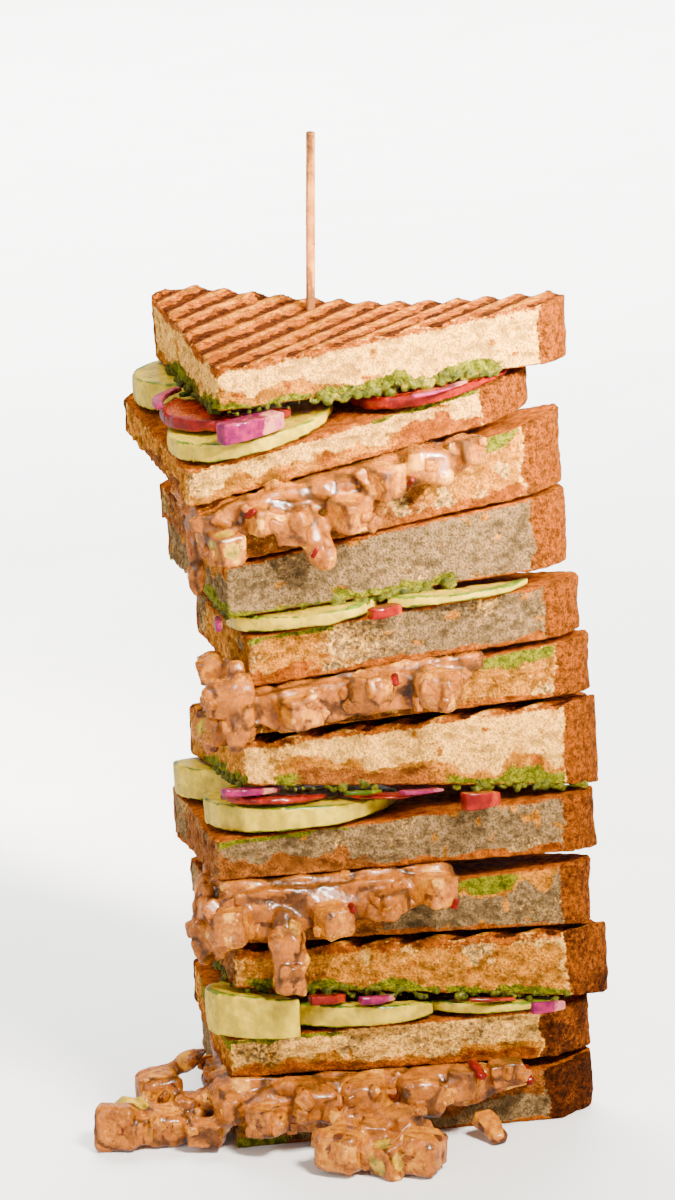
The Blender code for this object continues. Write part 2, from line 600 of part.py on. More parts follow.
def bit_mesh():
    """A diced piece that narrows to its foot, leaning, with the foot flat on the table."""
    top = Vector(BIT_TOP)
    foot = Vector(BIT_FOOT)
    axis = top - foot
    bm = bmesh.new()
    bmesh.ops.create_cube(bm, size=1.0)
    for vert in bm.verts:
        narrow = 1.0 if vert.co.z > 0 else BIT_TAPER
        vert.co.x *= BIT_WIDTH * narrow
        vert.co.y *= BIT_THICKNESS * narrow
        vert.co.z *= axis.length
    bmesh.ops.bevel(bm, geom=bm.edges[:] + bm.verts[:], offset=0.8, segments=1, affect="EDGES")
    turn = axis.to_track_quat("Z", "Y").to_matrix().to_4x4()
    bmesh.ops.transform(bm, matrix=Matrix.Translation((top + foot) / 2) @ turn, verts=bm.verts)
    geometry = bm.verts[:] + bm.edges[:] + bm.faces[:]
    bmesh.ops.bisect_plane(bm, geom=geometry, plane_no=(0, 0, -1), clear_outer=True)
    bmesh.ops.holes_fill(bm, edges=[e for e in bm.edges if e.is_boundary])
    bmesh.ops.recalc_face_normals(bm, faces=bm.faces[:])
    return bm


def build():
    clear_scene()
    group = make_collection("club_sandwich_tower")
    cutters = make_collection("cutters")
    materials = {kind: make_material(kind, 0.55) for kind in COLOURS}

    made = {}
    for one in SLICES:
        made[one.name] = to_object(slice_mesh(one), one.name, group, materials["bread"])
    for one in VEGETABLES:
        made[one.name] = to_object(vegetable_mesh(one), one.name, group, materials[one.kind])
    table = table_cutter(cutters)
    for one in FILLINGS:
        made[one.name] = build_filling(one, group, cutters, materials["filling"], table)

    to_object(bit_mesh(), "fallen_bit", group, materials["filling"])
    stick = pick_mesh(PICK_RADIUS, PICK_TOP, PICK_FOOT, PICK_POINT)
    made["pick"] = to_object(stick, "pick", group, materials["pick"])
    below = (PICK_FOOT[0], PICK_FOOT[1], PICK_FOOT[2] - 1.3)
    hole = add_cutter(pick_mesh(PICK_HOLE_RADIUS, PICK_TOP, below, PICK_POINT * 0.6), "cut_pick", cutters)
    for name in ("bread_01", "bread_02", "bread_03"):
        add_boolean(made[name], "DIFFERENCE", tool=hole)
        keep_largest(made[name])
    total = 0
    for one in group.objects:
        count = sum(len(face.vertices) - 2 for face in one.data.polygons)
        total += count
        print(one.name, count)
    print("triangles in all", total)


build()
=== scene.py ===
# %% [markdown]
# # A tower of grilled club sandwiches
# Four quarters of a grilled club sandwich stand on each other. Each has three slices of toast,
# raw vegetables under its first slice and a creamy, chunky filling under its second.
# The CAD model holds every slice, vegetable and filling in its place. Here each of them is built
# again on the same form, with what makes food look real: torn crumb, scorched ridges, wet cut
# faces, glossy sauce and colours that are never even.

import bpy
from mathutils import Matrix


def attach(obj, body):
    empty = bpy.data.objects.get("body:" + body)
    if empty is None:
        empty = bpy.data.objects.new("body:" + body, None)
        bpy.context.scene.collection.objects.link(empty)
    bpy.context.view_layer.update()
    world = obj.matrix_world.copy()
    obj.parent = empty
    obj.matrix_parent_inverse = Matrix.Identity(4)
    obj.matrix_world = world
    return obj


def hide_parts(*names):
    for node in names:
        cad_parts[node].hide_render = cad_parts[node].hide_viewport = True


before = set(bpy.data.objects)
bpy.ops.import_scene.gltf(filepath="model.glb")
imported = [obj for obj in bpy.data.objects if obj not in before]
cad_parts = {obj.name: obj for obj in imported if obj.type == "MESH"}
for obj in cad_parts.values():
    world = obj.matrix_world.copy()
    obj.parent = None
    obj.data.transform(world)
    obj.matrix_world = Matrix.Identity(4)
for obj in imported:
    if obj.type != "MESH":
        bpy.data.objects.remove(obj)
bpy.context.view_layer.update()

# %% [markdown]
# ## Numbers and colours
# Food is modelled in millimetres here, because crumb, pores and grill marks are thought of in
# millimetres, and turned into Blender's metres when a mesh is written. Colours are written as a
# picture editor shows them, so one function turns them into the linear numbers of a shader.

# %% Units, colours and smooth steps
import itertools
import math
import random
from collections import namedtuple

import bmesh
import bpy
import numpy as np
from mathutils import Euler, Matrix, Vector
from mathutils.bvhtree import BVHTree

MM = 0.001


def srgb(code):
    """A hex colour as the linear numbers that a shader uses."""
    parts = [int(code[i:i + 2], 16) / 255 for i in (1, 3, 5)]
    linear = [p / 12.92 if p <= 0.04045 else ((p + 0.055) / 1.055) ** 2.4 for p in parts]
    return (*linear, 1.0)


def per_mm(size):
    """The scale of a texture whose pattern is that many millimetres wide."""
    return 1.0 / (size * MM)


def step(low, high, value):
    """0 below low, 1 above high and a smooth slope between."""
    part = np.clip((value - low) / (high - low), 0.0, 1.0)
    return part * part * (3 - 2 * part)


# %% [markdown]
# ## Noise for shapes
# A shader's noise only paints. Torn bread needs noise that moves points, so this one gives each
# corner of a grid of cells a repeatable number and blends smoothly between the corners. It works
# on all points of a mesh at once, which keeps the script quick.

# %% Noise that moves points
def corner_value(cells, seed):
    """A repeatable number from 0 to 1 for each cell corner."""
    mixed = cells[:, 0] * 374761393 + cells[:, 1] * 668265263 + cells[:, 2] * 1440670441
    mixed = (mixed + seed * 97911151) & 0xFFFFFFFF
    mixed = ((mixed ^ (mixed >> 13)) * 1274126177) & 0xFFFFFFFF
    return ((mixed ^ (mixed >> 16)) & 0xFFFF) / 65535.0


def ripple(points, width, seed):
    """Smooth noise from -1 to 1, with bumps that many millimetres wide."""
    scaled = points / width
    base = np.floor(scaled).astype(np.int64)
    part = scaled - base
    part = part * part * (3 - 2 * part)
    total = np.zeros(len(points))
    for corner in itertools.product((0, 1), repeat=3):
        share = np.ones(len(points))
        for axis in range(3):
            share = share * (part[:, axis] if corner[axis] else 1 - part[:, axis])
        total += share * corner_value(base + np.array(corner), seed)
    return total * 2 - 1


# %% [markdown]
# ## From a CAD node to a fine mesh
# The CAD solids have few, large faces. A voxel remesh wraps the same form in small, even faces,
# which can then carry pores and folds. The CAD node's shape is never changed: it is hidden, and
# the fine piece takes its place in the picture and rides on the root body.

# %% Fine copies of the CAD nodes
def apply_modifiers(piece):
    """Keep what the modifiers make as the mesh itself."""
    graph = bpy.context.evaluated_depsgraph_get()
    mesh = bpy.data.meshes.new_from_object(piece.evaluated_get(graph))
    piece.modifiers.clear()
    piece.data = mesh


def remesh(piece, grain):
    """Wrap the piece in even faces of about that many millimetres."""
    wrap = piece.modifiers.new("wrap", "REMESH")
    wrap.mode = "VOXEL"
    wrap.voxel_size = grain * MM
    apply_modifiers(piece)


def soften(piece, times):
    """Round the edges of a finely remeshed piece."""
    smooth = piece.modifiers.new("smooth", "SMOOTH")
    smooth.iterations = times
    apply_modifiers(piece)


def new_piece(name, mesh):
    """An object for that mesh, put in the scene."""
    piece = bpy.data.objects.new(name, mesh)
    bpy.context.scene.collection.objects.link(piece)
    return piece


def fine_copy(node, name, grain):
    """A copy of a CAD node with small even faces."""
    piece = new_piece(name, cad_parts[node].data.copy())
    piece.data.materials.clear()
    remesh(piece, grain)
    return piece


def read(mesh):
    """Points in millimetres and their normals."""
    flat = np.empty(len(mesh.vertices) * 3, np.float32)
    mesh.vertices.foreach_get("co", flat)
    points = flat.reshape(-1, 3).astype(float) / MM
    mesh.vertex_normals.foreach_get("vector", flat)
    return points, flat.reshape(-1, 3).astype(float)


def write(mesh, points):
    mesh.vertices.foreach_set("co", (points * MM).astype(np.float32).ravel())
    mesh.update()


def mark(mesh, name, values):
    """Store where a finish shows, from 0 to 1 at each point."""
    layer = mesh.attributes.new(name, "FLOAT", "POINT")
    layer.data.foreach_set("value", np.clip(values, 0, 1).astype(np.float32))


def serve(piece, material, slot, *nodes):
    """Give the piece its material, put it on the body and let it stand for its nodes."""
    piece.data.materials.clear()
    piece.data.materials.append(material)
    piece.data.shade_smooth()
    if nodes:
        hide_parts(*nodes)
    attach(piece, "root")
    piece.data.calc_loop_triangles()
    made.append((piece.name, len(piece.data.loop_triangles)))


made = []

# %% [markdown]
# ## Materials
# All these foods are patchy in the same way: a base colour in light and dark patches, and finishes
# on top of it that show in places, such as toasting, sauce or rind. So a food is written as a list
# of layers. A mask stored on the mesh says where a layer shows, and a fine noise frays the mask's
# edge, since no stain on bread ends in a clean line.

# %% One function adds nodes, one lays a food's layers
Layer = namedtuple("Layer", "mask light dark patch roughness")


def add(tree, kind, links=None, **settings):
    """Add a node with its settings, and link or fill its sockets."""
    node = tree.nodes.new(kind)
    for key, value in settings.items():
        setattr(node, key, value)
    for key, value in (links or {}).items():
        socket = node.inputs[key]
        if isinstance(value, bpy.types.NodeSocket):
            tree.links.new(value, socket)
        else:
            socket.default_value = value
    return node


def food(name, layers, fray, grain, relief, pit_shade=0.0, shine=0.3, milky=0.0, depth=1.0, wet=0.0):
    """A food's material. Sizes are in millimetres: fray, grain and relief of the surface,
    and depth, how far light travels inside. pit_shade, shine, milky and wet run from 0 to 1;
    pit_shade is how much painted shade darkens the low points of the grain and the bubbles."""
    material = bpy.data.materials.new(name)
    material.use_nodes = True
    tree = material.node_tree
    shader = tree.nodes["Principled BSDF"]
    shader.inputs["IOR"].default_value = 1.4
    shader.inputs["Specular IOR Level"].default_value = shine
    shader.inputs["Subsurface Weight"].default_value = milky
    shader.inputs["Subsurface Radius"].default_value = (1.0, 0.6, 0.35)
    shader.inputs["Subsurface Scale"].default_value = depth * MM
    shader.inputs["Coat Weight"].default_value = wet
    shader.inputs["Coat Roughness"].default_value = 0.1
    place = add(tree, "ShaderNodeTexCoord").outputs["Object"]
    fine = add(tree, "ShaderNodeTexNoise", {"Vector": place, "Scale": per_mm(fray), "Detail": 3.0})
    shift = add(tree, "ShaderNodeMath", {0: fine.outputs["Fac"], 1: 1.1, 2: -0.55},
                operation="MULTIPLY_ADD").outputs[0]
    colour = None
    rough = None
    for layer in layers:
        noise = add(tree, "ShaderNodeTexNoise",
                    {"Vector": place, "Scale": per_mm(layer.patch), "Detail": 4.0})
        patches = add(tree, "ShaderNodeMapRange",
                      {"Value": noise.outputs["Fac"], "From Min": 0.38, "From Max": 0.62})
        tone = add(tree, "ShaderNodeMix",
                   {0: patches.outputs["Result"], 6: srgb(layer.light), 7: srgb(layer.dark)},
                   data_type="RGBA").outputs[2]
        if colour is None:
            colour = tone
            rough = add(tree, "ShaderNodeMapRange",
                        {"Value": fine.outputs["Fac"], "From Min": 0.3, "From Max": 0.7,
                         "To Min": layer.roughness - 0.06, "To Max": layer.roughness + 0.06}
                        ).outputs["Result"]
            continue
        mask = add(tree, "ShaderNodeAttribute", attribute_name=layer.mask).outputs["Fac"]
        frayed = add(tree, "ShaderNodeMath", {0: mask, 1: shift}, operation="ADD").outputs[0]
        shows = add(tree, "ShaderNodeMapRange",
                    {"Value": frayed, "From Min": 0.32, "From Max": 0.68},
                    interpolation_type="SMOOTHSTEP").outputs["Result"]
        colour = add(tree, "ShaderNodeMix", {0: shows, 6: colour, 7: tone},
                     data_type="RGBA").outputs[2]
        rough = add(tree, "ShaderNodeMix", {0: shows, 2: rough, 3: layer.roughness}).outputs[0]
    # Painted shade: the colour is darkened where the fine grain noise is low, where the bump makes hollows,
    # and most inside the bubbles.
    skin = add(tree, "ShaderNodeTexNoise", {"Vector": place, "Scale": per_mm(grain), "Detail": 5.0})
    deep = add(tree, "ShaderNodeMapRange",
               {"Value": skin.outputs["Fac"], "From Min": 0.38, "From Max": 0.56})
    pore_shade_fac = add(tree, "ShaderNodeAttribute", attribute_name="pore").outputs["Fac"]
    unshaded = add(tree, "ShaderNodeMath", {0: deep.outputs["Result"], 1: pore_shade_fac},
                   operation="SUBTRACT", use_clamp=True).outputs[0]
    colour = add(tree, "ShaderNodeMix", {0: pit_shade, 6: colour, 7: unshaded},
                 data_type="RGBA", blend_type="MULTIPLY").outputs[2]
    bump = add(tree, "ShaderNodeBump", {"Height": skin.outputs["Fac"], "Distance": relief * MM})
    tree.links.new(colour, shader.inputs["Base Color"])
    tree.links.new(rough, shader.inputs["Roughness"])
    tree.links.new(bump.outputs["Normal"], shader.inputs["Normal"])
    return material


# %% [markdown]
# ### Toast
# White tin bread, pressed in a ribbed contact grill. The crumb is matt and full of fine pits
# with painted shade in them, and duller and greyer on some slices, partly where steam made it
# damp and partly as painted shade, set per slice and mostly stronger on the lower slices. Dry
# heat turns the faces golden, the ribs burn dark lines and the crust is brown with painted shade
# in its pits, and darker on the lower slices, partly scorch and partly painted shade. Chutney and
# sauce soak in and leave it slightly shiny. The hex colours are darker than the food looks,
# because the white studio throws much light on it.

# %% Toasted bread
toast = food(
    "toasted_white_bread",
    [Layer("", "#FFBE50", "#DC9A40", 1.2, 0.9),
     Layer("dull", "#8C6C44", "#644E2E", 1.4, 0.9),
     Layer("cream", "#CC7C10", "#8A5208", 2.2, 0.85),
     Layer("toast", "#A85404", "#743404", 2.0, 0.8),
     Layer("crust", "#8C4404", "#542804", 1.3, 0.75),
     Layer("green", "#7A7606", "#4C4E08", 1.5, 0.7),
     Layer("sauce", "#9C5618", "#66360E", 2.4, 0.6),
     Layer("scorch", "#502204", "#2C1204", 1.2, 0.7)],
    fray=0.9, grain=0.5, relief=0.8, pit_shade=0.55, shine=0.04, milky=0.03)

# %% [markdown]
# ### Raw vegetables
# Cucumber, tomato and onion are wet and let light in, so they have subsurface scattering and a
# thin clear coat of juice. Only the rind or skin at the rim has a strong colour.

# %% Cucumber, tomato, onion and pepper
cucumber = food(
    "cut_cucumber",
    [Layer("", "#D2B010", "#A68A06", 3.0, 0.3),
     Layer("seed", "#DCBE20", "#B8920A", 1.6, 0.26),
     Layer("rind", "#627604", "#344E04", 1.8, 0.3)],
    fray=1.0, grain=1.2, relief=0.18, pit_shade=0.14, shine=0.3, milky=0.08, depth=1.2, wet=0.3)
tomato = food(
    "cut_tomato",
    [Layer("", "#9E2404", "#7E1204", 2.6, 0.26),
     Layer("seed", "#B85404", "#942C04", 2.0, 0.22),
     Layer("rind", "#7C0E04", "#5D0A04", 2.6, 0.2)],
    fray=0.9, grain=1.4, relief=0.2, pit_shade=0.15, shine=0.3, milky=0.06, depth=1.2, wet=0.4)
onion = food(
    "cut_red_onion",
    [Layer("", "#C47A58", "#A0405A", 2.4, 0.28),
     Layer("rind", "#921246", "#5E0A38", 2.2, 0.2)],
    fray=0.8, grain=1.0, relief=0.14, pit_shade=0.12, shine=0.3, milky=0.06, depth=1.0, wet=0.3)
pepper = food(
    "cut_green_pepper",
    [Layer("", "#666E06", "#3F4A06", 2.0, 0.26),
     Layer("rind", "#324304", "#253504", 1.6, 0.2)],
    fray=0.8, grain=1.0, relief=0.12, shine=0.15, milky=0.05, wet=0.1)
red_pepper = food(
    "red_pepper_skin",
    [Layer("", "#780604", "#510C04", 1.4, 0.16)],
    fray=0.8, grain=0.9, relief=0.08, shine=0.2, milky=0.04, wet=0.2)

# %% [markdown]
# ### Creamy filling, chutney and wood
# The filling is diced pieces in a spiced mayonnaise: orange beige and glossy where the sauce is
# thick, with painted shade in the valleys of its folds and a painted highlight on their crests,
# and yellow and rougher where a piece looks out. The green chutney is ground herbs, so it has
# a coarse grain. The pick is bare bamboo, pale brown with fibres along its length.

# %% Filling, chutney, wood and table
filling = food(
    "spiced_creamy_filling",
    [Layer("", "#AC5E12", "#80440A", 3.0, 0.26),
     Layer("fold", "#60340C", "#402206", 2.2, 0.3),
     Layer("gleam", "#F0A834", "#C47A18", 1.8, 0.2),
     Layer("dice", "#CC800C", "#984C06", 2.0, 0.28),
     Layer("pale", "#CC9C0C", "#7C6C0C", 2.4, 0.3),
     Layer("brown", "#6A2E04", "#482004", 1.4, 0.4),
     Layer("speck", "#6A1004", "#400C04", 0.8, 0.3)],
    fray=0.7, grain=0.9, relief=0.2, pit_shade=0.25, shine=0.4, milky=0.03, depth=0.8, wet=0.35)
chutney = food(
    "green_herb_chutney",
    [Layer("", "#605C06", "#3C4006", 1.3, 0.5),
     Layer("dark", "#2E3204", "#202404", 0.9, 0.5),
     Layer("pale", "#88780A", "#686206", 1.2, 0.45)],
    fray=0.7, grain=0.55, relief=0.5, pit_shade=0.45, shine=0.15, milky=0.03, wet=0.08)
bamboo = food(
    "bare_bamboo",
    [Layer("", "#C77A2A", "#955A1E", 5.0, 0.6),
     Layer("brown", "#75431A", "#522F14", 3.0, 0.65)],
    fray=1.2, grain=0.8, relief=0.06, shine=0.1)
paper = food("white_table", [Layer("", "#F8F7F4", "#F4F3F0", 60.0, 0.8)], 4.0, 8.0, 0.01, shine=0.1)

# %% [markdown]
# ## The slices of toast
# These are the same sizes as in the CAD source. apex is the cut corner in plan, turn the slice's
# angle, legs the lengths of its two cuts and crust how far the crust wraps round into view. under
# and thick give its underside and thickness at the apex, the right corner and the back corner.

# %% The slices' sizes
Slice = namedtuple("Slice", "name apex turn legs crust under thick ribs")
SLICES = [
    Slice("bread_01", (-21.7, -26.8), 5.5, (82.5, 82), 8.5, (167, 171.5, 165), (10, 14.4, 15.7), True),
    Slice("bread_02", (-28.3, -27.8), 7, (81, 77.5), 13, (147.5, 161, 152), (8, 9, 8), False),
    Slice("bread_03", (-23.2, -26.3), 6, (82.5, 73), 11, (133, 143.5, 130), (7.5, 17, 8.5), False),
    Slice("bread_04", (-21.2, -25.8), 6, (80, 78), 9, (121, 125.5, 119), (11.5, 17.3, 10.5), False),
    Slice("bread_05", (-17.7, -25.8), 4.5, (78.5, 74.5), 9.5, (105, 110.5, 100.5), (11, 12.5, 10.5), False),
    Slice("bread_06", (-18.1, -24.4), 3, (80.5, 75.5), 9.5, (94.5, 97.5, 84), (6.5, 12.5, 9.5), False),
    Slice("bread_07", (-20.2, -25.8), 4.5, (84.5, 80), 10, (84, 77, 70), (9.5, 19.5, 13), True),
    Slice("bread_08", (-27.1, -26.4), 2.5, (88.5, 83.5), 8.5, (62.5, 62, 51), (9, 13, 12), False),
    Slice("bread_09", (-25.1, -24.9), 1.5, (84.5, 82.5), 7.5, (47.5, 45, 36.5), (7, 14.5, 8.5), False),
    Slice("bread_10", (-25, -26.5), 1, (88.5, 82.5), 12, (37.5, 28.4, 24), (9.3, 15.9, 12), True),
    Slice("bread_11", (-27, -26), 1, (85.5, 82), 13, (16.5, 14.3, 10.4), (9, 11.7, 9.9), False),
    Slice("bread_12", (-26, -26), 0.5, (84, 83), 11.5, (0, 0, 0), (8.5, 12.5, 9), False),
]
REF_APEX = (-25.0, -28.0)
REF_RIGHT = (55.0, -28.0)
REF_BACK = (-27.0, 52.0)
RIDGE_PITCH = 7.7     # the contact grill's ribs
BACK_CRUST = 6.5      # how far the crust wraps round at the left cut's far end
BREAD_GRAIN = 0.58    # width of a face, small enough for a bubble


def level_at(levels, x, y):
    """Height of a slanted layer that is given at the three plan points."""
    across = (x - REF_APEX[0]) / (REF_RIGHT[0] - REF_APEX[0])
    back = (y - REF_APEX[1]) / (REF_BACK[1] - REF_APEX[1])
    return levels[0] + (levels[1] - levels[0]) * across + (levels[2] - levels[0]) * back


def tops(one):
    """Heights of a slice's upper face at the three plan points."""
    return tuple(low + thick for low, thick in zip(one.under, one.thick))


def own_plan(one, x, y, at_apex=True):
    """Along the front cut and along the left cut of the slice."""
    turn = math.radians(one.turn)
    if at_apex:
        x, y = x - one.apex[0], y - one.apex[1]
    return x * math.cos(turn) + y * math.sin(turn), y * math.cos(turn) - x * math.sin(turn)


def crust_depth(one, u, v):
    """How far inside the crust a point of the slice lies: the two rounded ends and the long side."""
    front, left = one.legs
    corners = [(front - one.crust, 0.0), (front, 0.8 * one.crust), (0.8 * BACK_CRUST, left),
               (0.0, left - BACK_CRUST)]
    depth = np.full(len(u), 99.0)
    for (u0, v0), (u1, v1) in zip(corners, corners[1:]):
        out = np.array((v1 - v0, u0 - u1)) / math.hypot(u1 - u0, v1 - v0)
        depth = np.minimum(depth, (u0 - u) * out[0] + (v0 - v) * out[1])
    return depth


print(len(SLICES), "slices")

# %% [markdown]
# ## What each slice went through
# Every slice differs. A stain names its finish, the cut face it is on, the edge it starts from, its
# two ends along the cut, and how high it reaches, all in millimetres. The rim is how far toasting
# shows on the cut faces below the top and above the underside, then how dull the crumb is and
# how dark its crust. These last two are partly damp crumb and scorch and partly painted shade,
# mostly stronger on the lower slices.

# %% Stains and rims
FULL = 20.0           # reaches over the full height of a cut face
STAINS = {
    "bread_01": [("green", "front", "low", -3, 22, 1.6), ("green", "front", "low", 22, 64, 3.8),
                 ("green", "left", "low", -3, 60, 3.6), ("cream", "left", "low", -3, 80, 4.0),
                 ("cream", "front", "low", -3, 30, 5.0)],
    "bread_02": [("cream", "front", "low", -3, 80, 5.0), ("green", "front", "top", 40, 74, 1.6),
                 ("toast", "front", "low", 44, 80, 6.0), ("cream", "left", "low", -3, 80, FULL),
                 ("sauce", "left", "low", 4, 50, 4.0)],
    "bread_03": [("cream", "front", "top", 40, 82, FULL), ("green", "front", "top", 52, 80, 3.6),
                 ("sauce", "front", "top", -3, 50, FULL), ("toast", "front", "low", 20, 80, 3.2),
                 ("sauce", "left", "low", -3, 60, FULL), ("green", "front", "top", 36, 60, 6.0)],
    "bread_04": [("green", "front", "low", 22, 52, 3.6), ("green", "front", "low", -3, 22, 1.4),
                 ("green", "left", "low", -3, 30, 4.0), ("cream", "left", "top", -3, 60, 5.0)],
    "bread_05": [("cream", "front", "top", -3, 22, FULL), ("toast", "front", "low", -3, 16, 4.6),
                 ("green", "front", "top", -3, 20, 2.2), ("cream", "left", "low", -3, 60, FULL),
                 ("toast", "front", "low", 16, 70, 1.8)],
    "bread_06": [("cream", "front", "top", -3, 86, FULL), ("sauce", "front", "top", -3, 46, FULL),
                 ("green", "front", "top", 46, 72, 3.4), ("sauce", "left", "low", -3, 60, FULL),
                 ("toast", "front", "top", 56, 80, 3.4)],
    "bread_07": [("cream", "front", "low", 4, 84, 8.0), ("sauce", "front", "low", 10, 46, 5.0),
                 ("green", "front", "low", 6, 30, 2.6),
                 ("green", "front", "low", 44, 78, 3.8), ("cream", "left", "low", -3, 84, FULL),
                 ("green", "left", "low", -3, 60, 3.0)],
    "bread_08": [("sauce", "front", "low", -3, 34, 6.0), ("toast", "front", "low", 20, 86, 2.2),
                 ("green", "front", "top", -3, 30, 1.6), ("sauce", "left", "low", -3, 60, FULL)],
    "bread_09": [("cream", "front", "top", 10, 84, 6.0), ("green", "front", "top", 34, 66, 4.6),
                 ("sauce", "front", "top", -3, 38, FULL), ("sauce", "left", "low", -3, 60, FULL)],
    "bread_10": [("cream", "front", "low", -3, 88, FULL), ("green", "front", "low", 2, 46, 3.0),
                 ("green", "front", "low", 46, 76, 2.4), ("sauce", "left", "low", -3, 60, FULL)],
    "bread_11": [("toast", "front", "low", -3, 84, 2.8), ("cream", "front", "low", -3, 84, 4.6),
                 ("green", "front", "top", -3, 26, 1.6), ("green", "left", "top", -3, 60, 3.0),
                 ("cream", "left", "low", -3, 80, FULL)],
    "bread_12": [("cream", "front", "top", -3, 88, 8.0), ("green", "front", "top", 34, 84, 4.2),
                 ("cream", "front", "low", -3, 14, FULL), ("green", "front", "low", -3, 12, 4.0),
                 ("sauce", "front", "top", 4, 76, 9.0), ("sauce", "left", "low", -3, 60, FULL)],
}
RIMS = {
    "bread_01": (2.6, 0.4, 0.1, 0.2), "bread_02": (0.9, 1.0, 0.25, 0.25),
    "bread_03": (1.2, 2.0, 0.45, 0.25), "bread_04": (0.9, 0.5, 0.85, 0.35),
    "bread_05": (0.9, 1.6, 0.7, 0.35), "bread_06": (1.3, 1.5, 0.5, 0.25),
    "bread_07": (2.4, 0.5, 0.25, 0.45), "bread_08": (0.7, 1.4, 0.8, 0.45),
    "bread_09": (0.9, 1.2, 0.85, 0.5), "bread_10": (3.0, 0.6, 0.45, 0.75),
    "bread_11": (0.6, 2.2, 0.35, 0.75), "bread_12": (1.0, 0.8, 1.0, 1.0),
}


def stain(along, rise, wobble, start, stop, height):
    """A stain that fades at its two ends and reaches unevenly far from its edge."""
    soft = min(height, 8.0)
    window = step(start - soft / 2, start + soft, along)
    window = window * (1 - step(stop - soft, stop + soft / 2, along + 2 * wobble))
    reach = height * (0.75 + 0.55 * wobble)
    return window * (1 - step(reach * 0.7, reach * 1.2 + 0.3, rise))


# %% [markdown]
# ## Crumb with real holes
# The cut faces show the bread's bubbles: many small ones and a few long ones, lying flat because
# the loaf was pressed. Each bubble is a smooth dent pushed into the fine mesh, so that it catches
# a real shadow, and the same shape is stored as a mask of painted shade that darkens its inside.

# %% Bubbles in a cut face
def bubbles(along, rise, where, length, thickness, draw):
    """Depth of the bubbles at each point where that face is, in millimetres."""
    depth = np.zeros(len(along))
    on_face = np.nonzero(where > 0.02)[0]
    along, rise = along[on_face], rise[on_face]
    found = np.zeros(len(on_face))
    for _ in range(int(length * 4.6)):
        size = 0.34 + 0.7 * draw.random() ** 5
        wide = size * draw.uniform(1.2, 2.8)
        at = draw.uniform(1.0, length)
        up = draw.uniform(0.08, 0.92) * thickness
        near = ((along - at) / wide) ** 2 + ((rise - up) / size) ** 2
        found = np.maximum(found, size * 0.85 * np.exp(-1.3 * near))
    depth[on_face] = found * where[on_face]
    return depth


def thin_out(piece, hidden, keep):
    """Collapse faces where nobody sees them, between two slices."""
    group = piece.vertex_groups.new(name="hidden")
    group.add([int(i) for i in np.nonzero(hidden)[0]], 1.0, "REPLACE")
    collapse = piece.modifiers.new("collapse", "DECIMATE")
    collapse.vertex_group = "hidden"
    share = hidden.mean()
    collapse.ratio = float(1 - share * (1 - keep))
    apply_modifiers(piece)
    piece.vertex_groups.clear()


# %% One slice of toast
def grill_marks(one, u, v, points, seed):
    """How far a point of the top lies in a pressed line, from 0 on a ridge to 1 in a line."""
    across = (v - u) / math.sqrt(2) + 0.5 * ripple(points, 6.0, seed)
    groove = 0.5 - 0.5 * np.cos(2 * math.pi * across / RIDGE_PITCH)
    return groove + 0.22 * ripple(points, 1.6, seed + 1) + 0.2 * ripple(points, 4.5, seed + 2)


